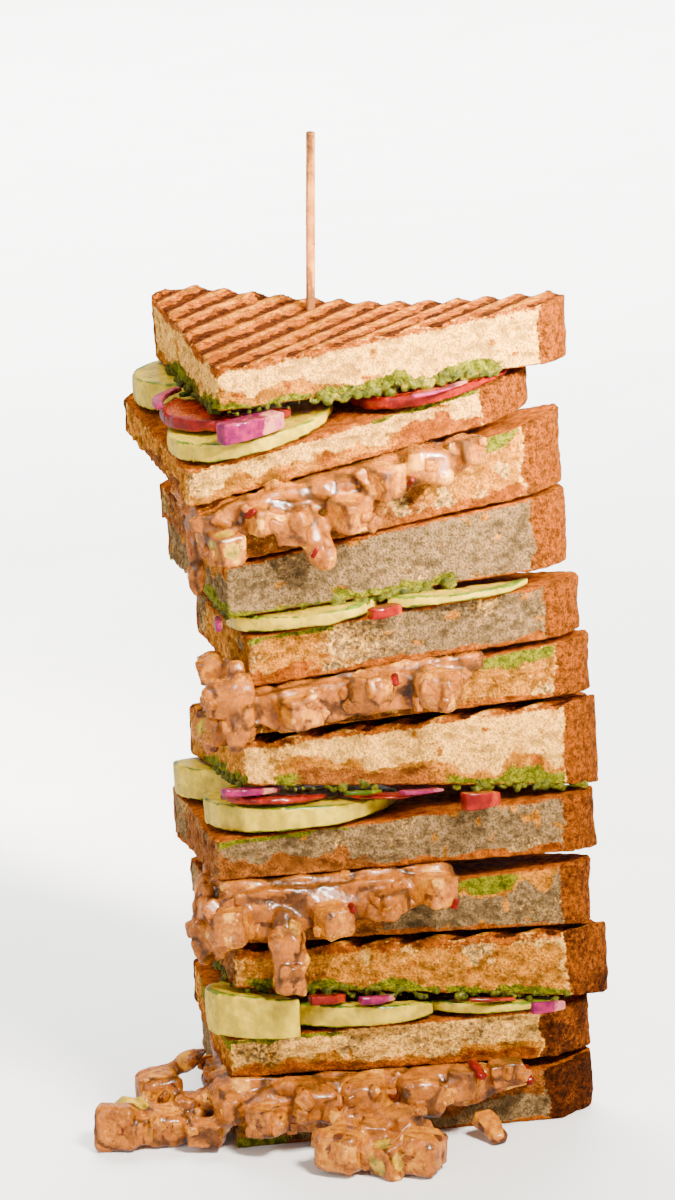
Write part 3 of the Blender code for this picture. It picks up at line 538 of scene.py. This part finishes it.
def slice_piece(one, seed):
    """Tear, pit and brown one slice, and store where each finish shows."""
    piece = fine_copy(one.name, "toast_" + one.name[-2:], BREAD_GRAIN)
    points, normals = read(piece.data)
    u, v = own_plan(one, points[:, 0], points[:, 1])
    inner = (u > 5) & (v > 5) & (crust_depth(one, u, v) > 3) & (abs(normals[:, 2]) > 0.9)
    if one.name == "bread_01":
        inner &= normals[:, 2] < 0
    thin_out(piece, inner, 0.06)
    mesh = piece.data
    points, normals = read(mesh)
    x, y, z = points.T
    u, v = own_plan(one, x, y)
    out_u, out_v = own_plan(one, normals[:, 0], normals[:, 1], at_apex=False)
    rise = z - level_at(one.under, x, y)
    drop = level_at(tops(one), x, y) - z
    flat = step(0.5, 0.8, abs(normals[:, 2]))
    side = 1 - flat
    crust = 1 - step(0.9, 2.3, crust_depth(one, u, v) + 0.7 * ripple(points, 3.6, seed))
    front = side * step(0.4, 0.75, -out_v) * (1 - crust)
    left = side * step(0.4, 0.75, -out_u) * (1 - crust)

    draw = np.random.default_rng(seed)
    middle = (one.thick[0] + one.thick[1]) / 2
    holes = bubbles(u, rise, front, one.legs[0] - one.crust, middle, draw)
    holes = holes + bubbles(v, rise, left, one.legs[1] - BACK_CRUST, middle, draw)
    torn = 0.3 * ripple(points, 3.2, seed + 1) + 0.24 * ripple(points, 1.3, seed + 2)
    slow = 0.5 * ripple(points, 13.0, seed + 3)
    pitted = 0.2 * ripple(points, 2.8, seed + 4) + 0.16 * ripple(points, 1.2, seed + 5)
    baked = 0.14 * ripple(points, 2.4, seed + 6) + 0.1 * ripple(points, 1.2, seed + 7) - 0.08
    push = (front + left) * (torn + slow) + crust * side * (pitted + 0.4 * slow) + flat * baked
    moved = points + normals * (push - holes)[:, None]
    moved[:, 2] = np.maximum(moved[:, 2], 0.0)
    write(mesh, moved)

    wobble = ripple(points, 4.5, seed + 8)
    fine = ripple(points, 1.8, seed + 9)
    masks = {name: np.zeros(len(u)) for name in ("cream", "toast", "green", "sauce")}
    for name, face, edge, start, stop, height in STAINS[one.name]:
        along = u if face == "front" else v
        where = front if face == "front" else left
        away = rise if edge == "low" else drop
        found = where * stain(along, away, wobble + 0.4 * fine, start, stop, height)
        strength = 0.9 if height < FULL / 2 else 0.7
        masks[name] = np.maximum(masks[name], found * strength)
    cut = side * (1 - crust)
    freckles = cut * step(0.35, 0.9, ripple(points, 2.6, seed + 12) + 0.4 * fine)
    masks["cream"] = np.maximum(masks["cream"], 0.7 * freckles)
    spots = step(0.15, 0.75, ripple(points, 3.0, seed + 10) + 0.5 * fine)
    masks["toast"] = np.maximum(masks["toast"], 0.75 * masks["cream"] * spots)
    rim_top, rim_low, dull, crust_darkness_and_shade = RIMS[one.name]
    rim = np.maximum(1 - step(rim_top * 0.6, rim_top * (1.3 + 0.6 * wobble), drop),
                     1 - step(rim_low * 0.6, rim_low * (1.3 + 0.6 * wobble), rise))
    masks["toast"] = np.maximum(masks["toast"], cut * rim * (0.75 + 0.35 * wobble))
    marks = grill_marks(one, u, v, points, seed + 11)
    pressed = flat * one.ribs * (normals[:, 2] > 0)
    masks["toast"] = np.maximum(masks["toast"], flat * (1 - pressed))
    masks["toast"] = np.maximum(masks["toast"], pressed * step(-0.1, 0.45, marks))
    masks["cream"] = np.maximum(masks["cream"], flat)
    scorch = pressed * step(0.45, 1.0, marks + 0.25 * fine)
    patchy = ripple(points, 5.0, seed + 14) + 0.5 * fine
    # Painted shade in part: the crust's darkness per slice is partly scorch and partly shade, mostly
    # stronger on the lower slices.
    scorch = np.maximum(scorch, crust * (crust_darkness_and_shade - 0.25 + 0.35 * patchy))
    edge_burn = cut * (1 - step(0.2, rim_top * 0.7, drop)) * step(0.1, 0.7, wobble + 0.5 * fine)
    masks["scorch"] = np.maximum(scorch, edge_burn * (0.75 if one.ribs else 0.4))
    # Painted shade inside the bubbles: the shader darkens the colour where this mask is high.
    masks["pore"] = 0.9 * step(0.12, 0.5, holes)
    masks["crust"] = crust * np.maximum(side, 0.8)
    # Painted shade in part: the greyer, darker crumb per slice is partly damp crumb and partly shade,
    # mostly stronger on the lower slices.
    masks["dull"] = dull + 0.25 * ripple(points, 7.0, seed + 15)
    for name, values in masks.items():
        mark(mesh, name, values)
    serve(piece, toast, "bread", one.name)


for n, one in enumerate(SLICES):
    slice_piece(one, 100 + 20 * n)
print("toast faces", sum(count for _, count in made))

# %% [markdown]
# ## Vegetables
# A round slice shows three zones: seeds in the middle, flesh, and a rind or skin at the rim. The
# distance from the slice's centre gives all three. A strip of onion, tomato or pepper is coloured
# skin on its left and paler flesh towards its right end.

# %% Round slices and strips
Round = namedtuple("Round", "node kind centre radius")
ROUNDS = [
    Round("cucumber_1a", "cucumber", (-14.0, -12.0), 18.5),
    Round("cucumber_1b", "cucumber", (-15.5, 34.5), 20.5),
    Round("tomato_1a", "tomato", (-13.0, -3.0), 20.0),
    Round("tomato_1b", "tomato", (26.5, -6.0), 20.0),
    Round("cucumber_2a", "cucumber", (-4.0, -13.0), 17.0),
    Round("cucumber_2b", "cucumber", (29.0, -9.0), 20.0),
    Round("cucumber_3a", "cucumber", (-7.0, -7.5), 22.0),
    Round("cucumber_3b", "cucumber", (-14.0, 34.0), 18.0),
    Round("tomato_3a", "tomato", (-13.0, -16.0), 13.0),
    Round("tomato_3b", "tomato", (11.5, -17.0), 11.5),
    Round("cucumber_4a", "cucumber", (-14.0, -17.0), 17.0),
    Round("cucumber_4b", "cucumber", (4.0, -11.0), 19.0),
    Round("cucumber_4c", "cucumber", (33.0, -12.0), 16.5),
]
STRIPS = ["onion_1a", "onion_1b", "onion_1c", "onion_2", "onion_3a", "onion_3b", "onion_4a",
          "onion_4b", "tomato_2", "tomato_3c", "tomato_4a", "tomato_4b", "pepper_1", "pepper_3"]
KINDS = {"cucumber": cucumber, "tomato": tomato, "onion": onion, "pepper": pepper}
ROUND_GRAIN = 0.65
STRIP_GRAIN = 0.3


def round_piece(one, seed):
    """One round slice, with its seeds and rind by the distance from its centre."""
    piece = fine_copy(one.node, one.node + "_slice", ROUND_GRAIN)
    soften(piece, 3)
    points, normals = read(piece.data)
    away = np.hypot(points[:, 0] - one.centre[0], points[:, 1] - one.centre[1])
    share = away / one.radius
    rim = step(0.87, 0.96, share + 0.02 * ripple(points, 3.0, seed))
    bent = step(0.15, 0.5, abs(normals[:, 2])) if one.kind == "cucumber" else 1.0
    mark(piece.data, "rind", rim * bent * (0.75 + 0.4 * ripple(points, 5.0, seed + 3)))
    around = np.arctan2(points[:, 1] - one.centre[1], points[:, 0] - one.centre[0])
    spokes = 0.5 + 0.5 * np.cos(around * (3 if one.kind == "cucumber" else 5) * 2)
    mark(piece.data, "seed", (1 - step(0.45, 0.6, share)) * (0.35 + 0.6 * spokes))
    push = 0.2 * ripple(points, 6.0, seed + 1) + 0.1 * ripple(points, 2.0, seed + 2) - 0.12
    write(piece.data, points + normals * push[:, None])
    serve(piece, KINDS[one.kind], one.kind, one.node)


def strip_piece(node, seed):
    """One short strip, with skin on its left part."""
    kind = node.split("_")[0]
    piece = fine_copy(node, node + "_strip", STRIP_GRAIN)
    soften(piece, 8)
    points, normals = read(piece.data)
    along = (points[:, 0] - points[:, 0].min()) / np.ptp(points[:, 0])
    mark(piece.data, "rind", 1 - step(0.55, 0.95, along + 0.15 * ripple(points, 3.0, seed)))
    mark(piece.data, "seed", 0.3 + 0.3 * ripple(points, 3.0, seed + 3))
    push = 0.12 * ripple(points, 3.0, seed + 1) + 0.06 * ripple(points, 1.2, seed + 2) - 0.06
    write(piece.data, points + normals * push[:, None])
    serve(piece, KINDS[kind], kind, node)


for n, one in enumerate(ROUNDS):
    round_piece(one, 400 + 10 * n)
for n, node in enumerate(STRIPS):
    strip_piece(node, 600 + 10 * n)
print(len(ROUNDS), "round slices and", len(STRIPS), "strips")

# %% [markdown]
# ## The filling
# Thick sauce lies in soft folds, so its noise is folded: the size of a wave, taken as positive,
# has sharp valleys and round crests, as a spoonful of mayonnaise has. The valleys get painted
# shade and the crests a painted highlight. The diced pieces keep flatter, rougher faces. Their
# centres and sizes are those of the CAD source.

# %% Where the diced pieces lie
DICE = {
    "filling_1": [((-22, -33, 138.5), 7), ((-7, -33.5, 142.5), 7.5), ((5, -33, 144.5), 8),
                  ((13, -33, 151), 8), ((23, -32, 153.5), 8.5), ((-14, -34, 144.5), 6.5),
                  ((31, -31, 156), 6)],
    "filling_2": [((-23.5, -27, 104), 8.5), ((-25, -20, 95), 8), ((-8, -32.5, 100.5), 7.5),
                  ((8, -32.5, 104.5), 8), ((22.5, -32, 103.5), 9), ((-25.5, -14, 107), 6.5)],
    "filling_3": [((-13.5, -35.5, 41.5), 7.5), ((-25, -31, 53), 8), ((-3, -33, 53), 8.5),
                  ((10, -32, 56), 7), ((20, -31.5, 57.5), 8), ((29.5, -31, 59), 7)],
    "filling_4": [((-9.5, -33, 11.5), 10), ((2, -33, 11), 11), ((14, -32.5, 10.5), 10),
                  ((24.5, -31.5, 12.5), 8), ((-20, -33, 8), 8), ((34, -31, 14), 6.5),
                  ((-5, -47, 4.9), 12), ((2, -45, 7.5), 7), ((4.5, -52, 3.6), 8),
                  ((11.5, -52.5, 4.9), 10.5), ((8, -44, 8.5), 8), ((0, -40, 4.5), 9),
                  ((10, -40, 4.5), 9), ((-34.5, -15, 5.4), 9.5), ((-42, -6, 7.5), 11),
                  ((-49, -12.5, 4.6), 9), ((-52.5, -18, 4.4), 10.5), ((-41.5, -19, 4.2), 8.5),
                  ((-33.5, -26, 4), 7), ((-46, -19, 3.4), 7)],
}
PALE_DICE = {("filling_1", 0), ("filling_2", 1), ("filling_4", 15), ("filling_4", 8)}
FILLING_GRAIN = 0.52
HIDDEN_BEHIND = -23.0    # the sauce behind this and right of the next lies between two slices
HIDDEN_RIGHT_OF = -14.0


# %% One filling
def filling_marks(piece, points, dice, pale, fold, seed):
    """Store the painted shade in the sauce's valleys, the painted highlight on its crests and where the
    diced pieces show in it.
    """
    mesh = piece.data
    warm = ripple(points, 3.0, seed + 4)
    # Painted shade in the valleys of the sauce.
    mark(mesh, "fold", 0.75 * step(0.5, 1.0, fold) * (1 - 0.8 * dice))
    # Painted highlight on the crests of the sauce.
    mark(mesh, "gleam", (1 - step(0.05, 0.5, fold)) * (0.5 + 0.5 * warm))
    mark(mesh, "dice", dice * 0.85)
    mark(mesh, "pale", pale * 0.9)
    mark(mesh, "brown", dice * step(0.35, 0.8, warm + 0.3 * ripple(points, 1.4, seed + 5)) * 0.8)
    mark(mesh, "speck", step(0.72, 0.86, ripple(points, 1.1, seed + 6)) * 0.8)


def filling_piece(node, seed):
    """One filling, folded where it is sauce and rougher on its diced pieces."""
    piece = fine_copy(node, node + "_mass", FILLING_GRAIN)
    soften(piece, 5)
    points, _ = read(piece.data)
    thin_out(piece, (points[:, 1] > HIDDEN_BEHIND) & (points[:, 0] > HIDDEN_RIGHT_OF), 0.08)
    points, normals = read(piece.data)
    dice = np.zeros(len(points))
    pale = np.zeros(len(points))
    for index, (centre, size) in enumerate(DICE[node]):
        away = np.linalg.norm(points - np.array(centre), axis=1)
        near = 1 - step(size * 0.5, size * 0.66, away)
        tone = 0.55 + 0.45 * math.sin(index * 2.4 + seed)
        dice = np.maximum(dice, near * tone)
        if (node, index) in PALE_DICE:
            pale = np.maximum(pale, near)
    fold = 1 - abs(ripple(points, 5.0, seed + 1)) * 1.4
    folded = 0.75 * (1 - fold) - 0.3 + 0.3 * ripple(points, 2.4, seed + 2)
    rough = 0.16 * ripple(points, 1.5, seed + 3)
    push = folded * (1 - 0.75 * dice) + rough
    moved = points + normals * push[:, None]
    moved[:, 2] = np.maximum(moved[:, 2], 0.0)
    write(piece.data, moved)
    filling_marks(piece, points, dice, pale, fold, seed)
    serve(piece, filling, "filling", node)
    return piece


masses = {node: filling_piece(node, 800 + 20 * n) for n, node in enumerate(DICE)}

# %% The piece that fell out in front, and the pick
BIT_GRAIN = 0.35
PICK_GRAIN = 0.3
SMEAR_LOW, SMEAR_HIGH = 181.0, 188.0    # the pick is brown with juice up to here

bit = fine_copy("fallen_bit", "fallen_dice", BIT_GRAIN)
bit_points, bit_normals = read(bit.data)
bit_push = 0.3 * ripple(bit_points, 2.6, 905) + 0.14 * ripple(bit_points, 1.2, 906) - 0.1
bit_moved = bit_points + bit_normals * bit_push[:, None]
bit_moved[:, 2] = np.maximum(bit_moved[:, 2], 0.0)
write(bit.data, bit_moved)
everywhere = np.ones(len(bit_points))
filling_marks(bit, bit_points, everywhere, 0.25 * everywhere, 0 * everywhere, 907)
serve(bit, filling, "filling", "fallen_bit")

pick = fine_copy("pick", "bamboo_pick", PICK_GRAIN)
pick_points, pick_normals = read(pick.data)
fibres = ripple(pick_points * np.array((1.0, 1.0, 0.12)), 0.8, 910)
write(pick.data, pick_points + pick_normals * (0.06 * fibres)[:, None])
low_smear = 1 - step(SMEAR_LOW, SMEAR_HIGH, pick_points[:, 2] + 2 * fibres)
mark(pick.data, "brown", np.maximum(0.45 + 0.4 * fibres, low_smear * 0.8))
serve(pick, bamboo, "pick", "pick")
print("pieces so far", len(made), "with", sum(count for _, count in made), "triangles")

# %% [markdown]
# ## Chutney
# Green chutney squeezes out under the first slice of each sandwich. It is a heap of small round
# blobs along the cut edge, wrapped in one skin by a voxel remesh so that the blobs run together,
# and then roughened as ground herbs are.

# %% Blobs that run together
def blob_mass(name, blobs, grain):
    """One skin round many balls, given as centre and radius in millimetres."""
    bm = bmesh.new()
    for centre, radius in blobs:
        place = Matrix.Translation(Vector(centre) * MM) @ Matrix.Scale(radius * MM, 4)
        bmesh.ops.create_icosphere(bm, subdivisions=2, radius=1.0, matrix=place)
    mesh = bpy.data.meshes.new(name)
    bm.to_mesh(mesh)
    bm.free()
    piece = new_piece(name, mesh)
    remesh(piece, grain)
    return piece


CHUTNEY_GRAIN = 0.42
CHUTNEY = {
    "bread_01": [("front", 20, 62, 1.25, 0.95), ("front", 2, 20, 0.7, 0.6), ("left", 6, 58, 1.1, 0.8)],
    "bread_04": [("front", 22, 50, 1.2, 0.95), ("front", 4, 22, 0.7, 0.5), ("left", 4, 24, 1.0, 0.7)],
    "bread_07": [("front", 8, 30, 0.9, 0.7), ("front", 46, 76, 1.05, 0.85), ("left", 6, 40, 0.9, 0.7)],
    "bread_10": [("front", 2, 44, 1.0, 0.85), ("front", 46, 74, 0.9, 0.7), ("left", 6, 40, 0.9, 0.6)],
}


def chutney_piece(one, seed):
    """The chutney under one slice, scattered along its cut edges."""
    draw = random.Random(seed)
    turn = math.radians(one.turn)
    blobs = []
    for face, start, stop, size, share in CHUTNEY[one.name]:
        at = start
        while at < stop:
            at += draw.uniform(0.3, 0.9)
            if draw.random() > share:
                continue
            radius = size * draw.uniform(0.45, 1.0)
            deep = draw.uniform(-0.3, 1.6)
            u, v = (at, deep) if face == "front" else (deep, at)
            x = one.apex[0] + u * math.cos(turn) - v * math.sin(turn)
            y = one.apex[1] + u * math.sin(turn) + v * math.cos(turn)
            z = level_at(one.under, x, y) + draw.uniform(-1.2, 0.9)
            blobs.append(((x, y, z), radius))
    piece = blob_mass("chutney_" + one.name[-2:], blobs, CHUTNEY_GRAIN)
    points, normals = read(piece.data)
    push = 0.4 * ripple(points, 1.7, seed) + 0.3 * ripple(points, 0.9, seed + 1)
    write(piece.data, points + normals * push[:, None])
    mark(piece.data, "dark", step(0.3, 0.8, ripple(points, 1.3, seed + 2)) * 0.8)
    mark(piece.data, "pale", step(0.3, 0.8, ripple(points, 2.2, seed + 3)) * 0.7)
    serve(piece, chutney, "pepper")


for n, one in enumerate(one for one in SLICES if one.name in CHUTNEY):
    chutney_piece(one, 1000 + 10 * n)

# %% [markdown]
# ## Small pieces in the filling
# Between the large diced pieces the sauce carries many small ones, and a few glossy bits of red
# pepper. Each small piece is a crooked cube, half sunk in the surface of the filling, so it is
# placed on the mesh itself and follows it from every side.

# %% Small diced pieces on the surface
def crumb_cube(bm, centre, size, turn):
    """A crooked cube with soft edges and faces fine enough to be roughened."""
    first = len(bm.verts)
    corners = bmesh.ops.create_cube(bm, size=1.0)["verts"]
    edges = list({edge for vert in corners for edge in vert.link_edges})
    bmesh.ops.subdivide_edges(bm, edges=edges, cuts=5, use_grid_fill=True)
    bm.verts.ensure_lookup_table()
    matrix = Matrix.Translation(Vector(centre) * MM) @ turn.to_matrix().to_4x4()
    matrix = matrix @ Matrix.Diagonal((size[0] * MM, size[1] * MM, size[2] * MM, 1.0))
    for vert in bm.verts[first:]:
        soft = vert.co * 0.5 / sum(abs(c) ** 7 for c in vert.co) ** (1 / 7)
        vert.co = matrix @ soft


def small_dice(node, count, seed):
    """Small diced pieces, half sunk in the faces of a filling that look forward or left."""
    draw = random.Random(seed)
    points, normals = read(masses[node].data)
    seen = np.nonzero((normals[:, 1] < -0.45) | (normals[:, 0] < -0.6))[0]
    bm = bmesh.new()
    for _ in range(count):
        index = int(seen[draw.randrange(len(seen))])
        size = [draw.uniform(1.6, 4.2) for _ in range(3)]
        centre = points[index] - normals[index] * min(size) * 0.3
        if centre[2] < 2.5:
            continue
        turn = Euler([draw.uniform(0, math.pi) for _ in range(3)])
        crumb_cube(bm, centre, size, turn)
    mesh = bpy.data.meshes.new("small_dice_" + node[-1])
    bm.to_mesh(mesh)
    bm.free()
    piece = new_piece(mesh.name, mesh)
    spots, ways = read(piece.data)
    push = 0.2 * ripple(spots, 2.2, seed) + 0.08 * ripple(spots, 1.0, seed + 1)
    write(piece.data, spots + ways * push[:, None])
    showing = 0.5 + 0.5 * ripple(spots, 7.0, seed + 2)
    filling_marks(piece, spots, showing, 0.5 * step(0.3, 0.8, ripple(spots, 9.0, seed + 3)),
                  0.4 + 0 * showing, seed)
    serve(piece, filling, "filling")


for n, (node, count) in enumerate([("filling_1", 26), ("filling_2", 24), ("filling_3", 24),
                                   ("filling_4", 40)]):
    small_dice(node, count, 1100 + 10 * n)

# %% Bits of red pepper
PEPPER_BITS = [
    ("filling_4", (27.0, -34.0, 16.0), 5.4), ("filling_4", (38.5, -33.0, 13.5), 5.0),
    ("filling_1", (-16.0, -36.0, 146.5), 3.0), ("filling_1", (-3.0, -36.0, 137.0), 2.4),
    ("filling_1", (18.0, -36.0, 150.0), 2.6), ("filling_2", (14.0, -35.0, 108.0), 2.8),
    ("filling_3", (2.0, -36.0, 58.0), 2.6), ("filling_3", (24.0, -35.0, 55.0), 2.4),
]


def nearest(piece, point):
    """The surface point of a piece that is nearest to a place in millimetres."""
    bm = bmesh.new()
    bm.from_mesh(piece.data)
    tree = BVHTree.FromBMesh(bm)
    spot, normal, _, _ = tree.find_nearest(Vector(point) * MM)
    bm.free()
    return spot / MM, normal


bm = bmesh.new()
for n, (node, point, length) in enumerate(PEPPER_BITS):
    draw = random.Random(1200 + n)
    spot, normal = nearest(masses[node], point)
    tilt = normal.to_track_quat("Z", "Y").to_euler()
    tilt.rotate_axis("Z", draw.uniform(0.4, 1.2))
    crumb_cube(bm, spot + normal * 0.35, (length, length * 0.42, 1.4), tilt)
mesh = bpy.data.meshes.new("red_pepper_bits")
bm.to_mesh(mesh)
bm.free()
bits = new_piece("red_pepper_bits", mesh)
serve(bits, red_pepper, "tomato")
print(len(made), "pieces with", sum(count for _, count in made), "triangles in all")

# %% [markdown]
# ## Table, light and camera
# The food was photographed in front of white under large soft lights, so a pale table and wide
# area lights are enough. Wet food would mirror the white table as a milky veil, which the photo
# doesn't show, so reflections leave the table and the light behind out. The camera stands a long
# way off with a long lens, a little above the middle and slightly to the left, and is turned a
# few degrees about its own axis.

# %% Pale table
bpy.ops.mesh.primitive_plane_add(size=6.0, location=(0, 0, -0.0001))
table = bpy.context.object
table.name = "table_top"
table.data.materials.append(paper)
table.visible_glossy = False


# %% Soft studio light
def soft_light(name, place, power, size, colour, aim_at=(0.0, 0.0, 0.1), spread=180.0):
    """An area light of that many watts and metres, aimed at a point."""
    light = bpy.data.lights.new(name, "AREA")
    light.energy = power
    light.size = size
    light.spread = math.radians(spread)
    light.color = srgb(colour)[:3]
    lamp = bpy.data.objects.new(name, light)
    bpy.context.scene.collection.objects.link(lamp)
    lamp.location = place
    aim = Vector(aim_at) - Vector(place)
    lamp.rotation_euler = aim.to_track_quat("-Z", "Y").to_euler()
    return lamp


soft_light("key_light", (0.28, -0.56, 0.72), 26.0, 0.2, "#FFF8EE")
soft_light("fill_light", (-0.8, -0.6, 0.5), 4.5, 0.5, "#FFFFFF")
soft_light("top_slice_light", (0.36, -0.6, 0.5), 0.8, 0.12, "#FFF8EE", (0.065, -0.02, 0.2), 14.0)
behind = soft_light("backdrop_light", (0.0, 1.5, 1.25), 200.0, 1.5, "#FFFFFF", (0.0, 1.5, 0.0))
behind.visible_glossy = False
world = bpy.data.worlds.new("white_studio")
world.use_nodes = True
world.node_tree.nodes["Background"].inputs["Color"].default_value = srgb("#FFFFFF")
world.node_tree.nodes["Background"].inputs["Strength"].default_value = 0.5
bpy.context.scene.world = world

# %% Camera
AZIMUTH, ELEVATION, ROLL = (math.radians(a) for a in (-6.0, 14.0, 3.0))
DISTANCE = 1.2
AIM = Vector((0.002, -0.028, 0.124))
FOCAL_LENGTH = 165.6
SENSOR = 36.0
back = Vector((math.sin(AZIMUTH) * math.cos(ELEVATION), -math.cos(AZIMUTH) * math.cos(ELEVATION),
               math.sin(ELEVATION)))
level = Vector((math.cos(AZIMUTH), math.sin(AZIMUTH), 0.0))
upright = back.cross(level)
right = level * math.cos(ROLL) - upright * math.sin(ROLL)
up = level * math.sin(ROLL) + upright * math.cos(ROLL)
lens = bpy.data.cameras.new("photo_camera")
lens.sensor_fit = "VERTICAL"
lens.sensor_height = SENSOR
lens.sensor_width = SENSOR
lens.lens = FOCAL_LENGTH
camera = bpy.data.objects.new("photo_camera", lens)
bpy.context.scene.collection.objects.link(camera)
turn = Matrix((right, up, back)).transposed().to_4x4()
camera.matrix_world = Matrix.Translation(AIM + back * DISTANCE) @ turn
bpy.context.scene.camera = camera
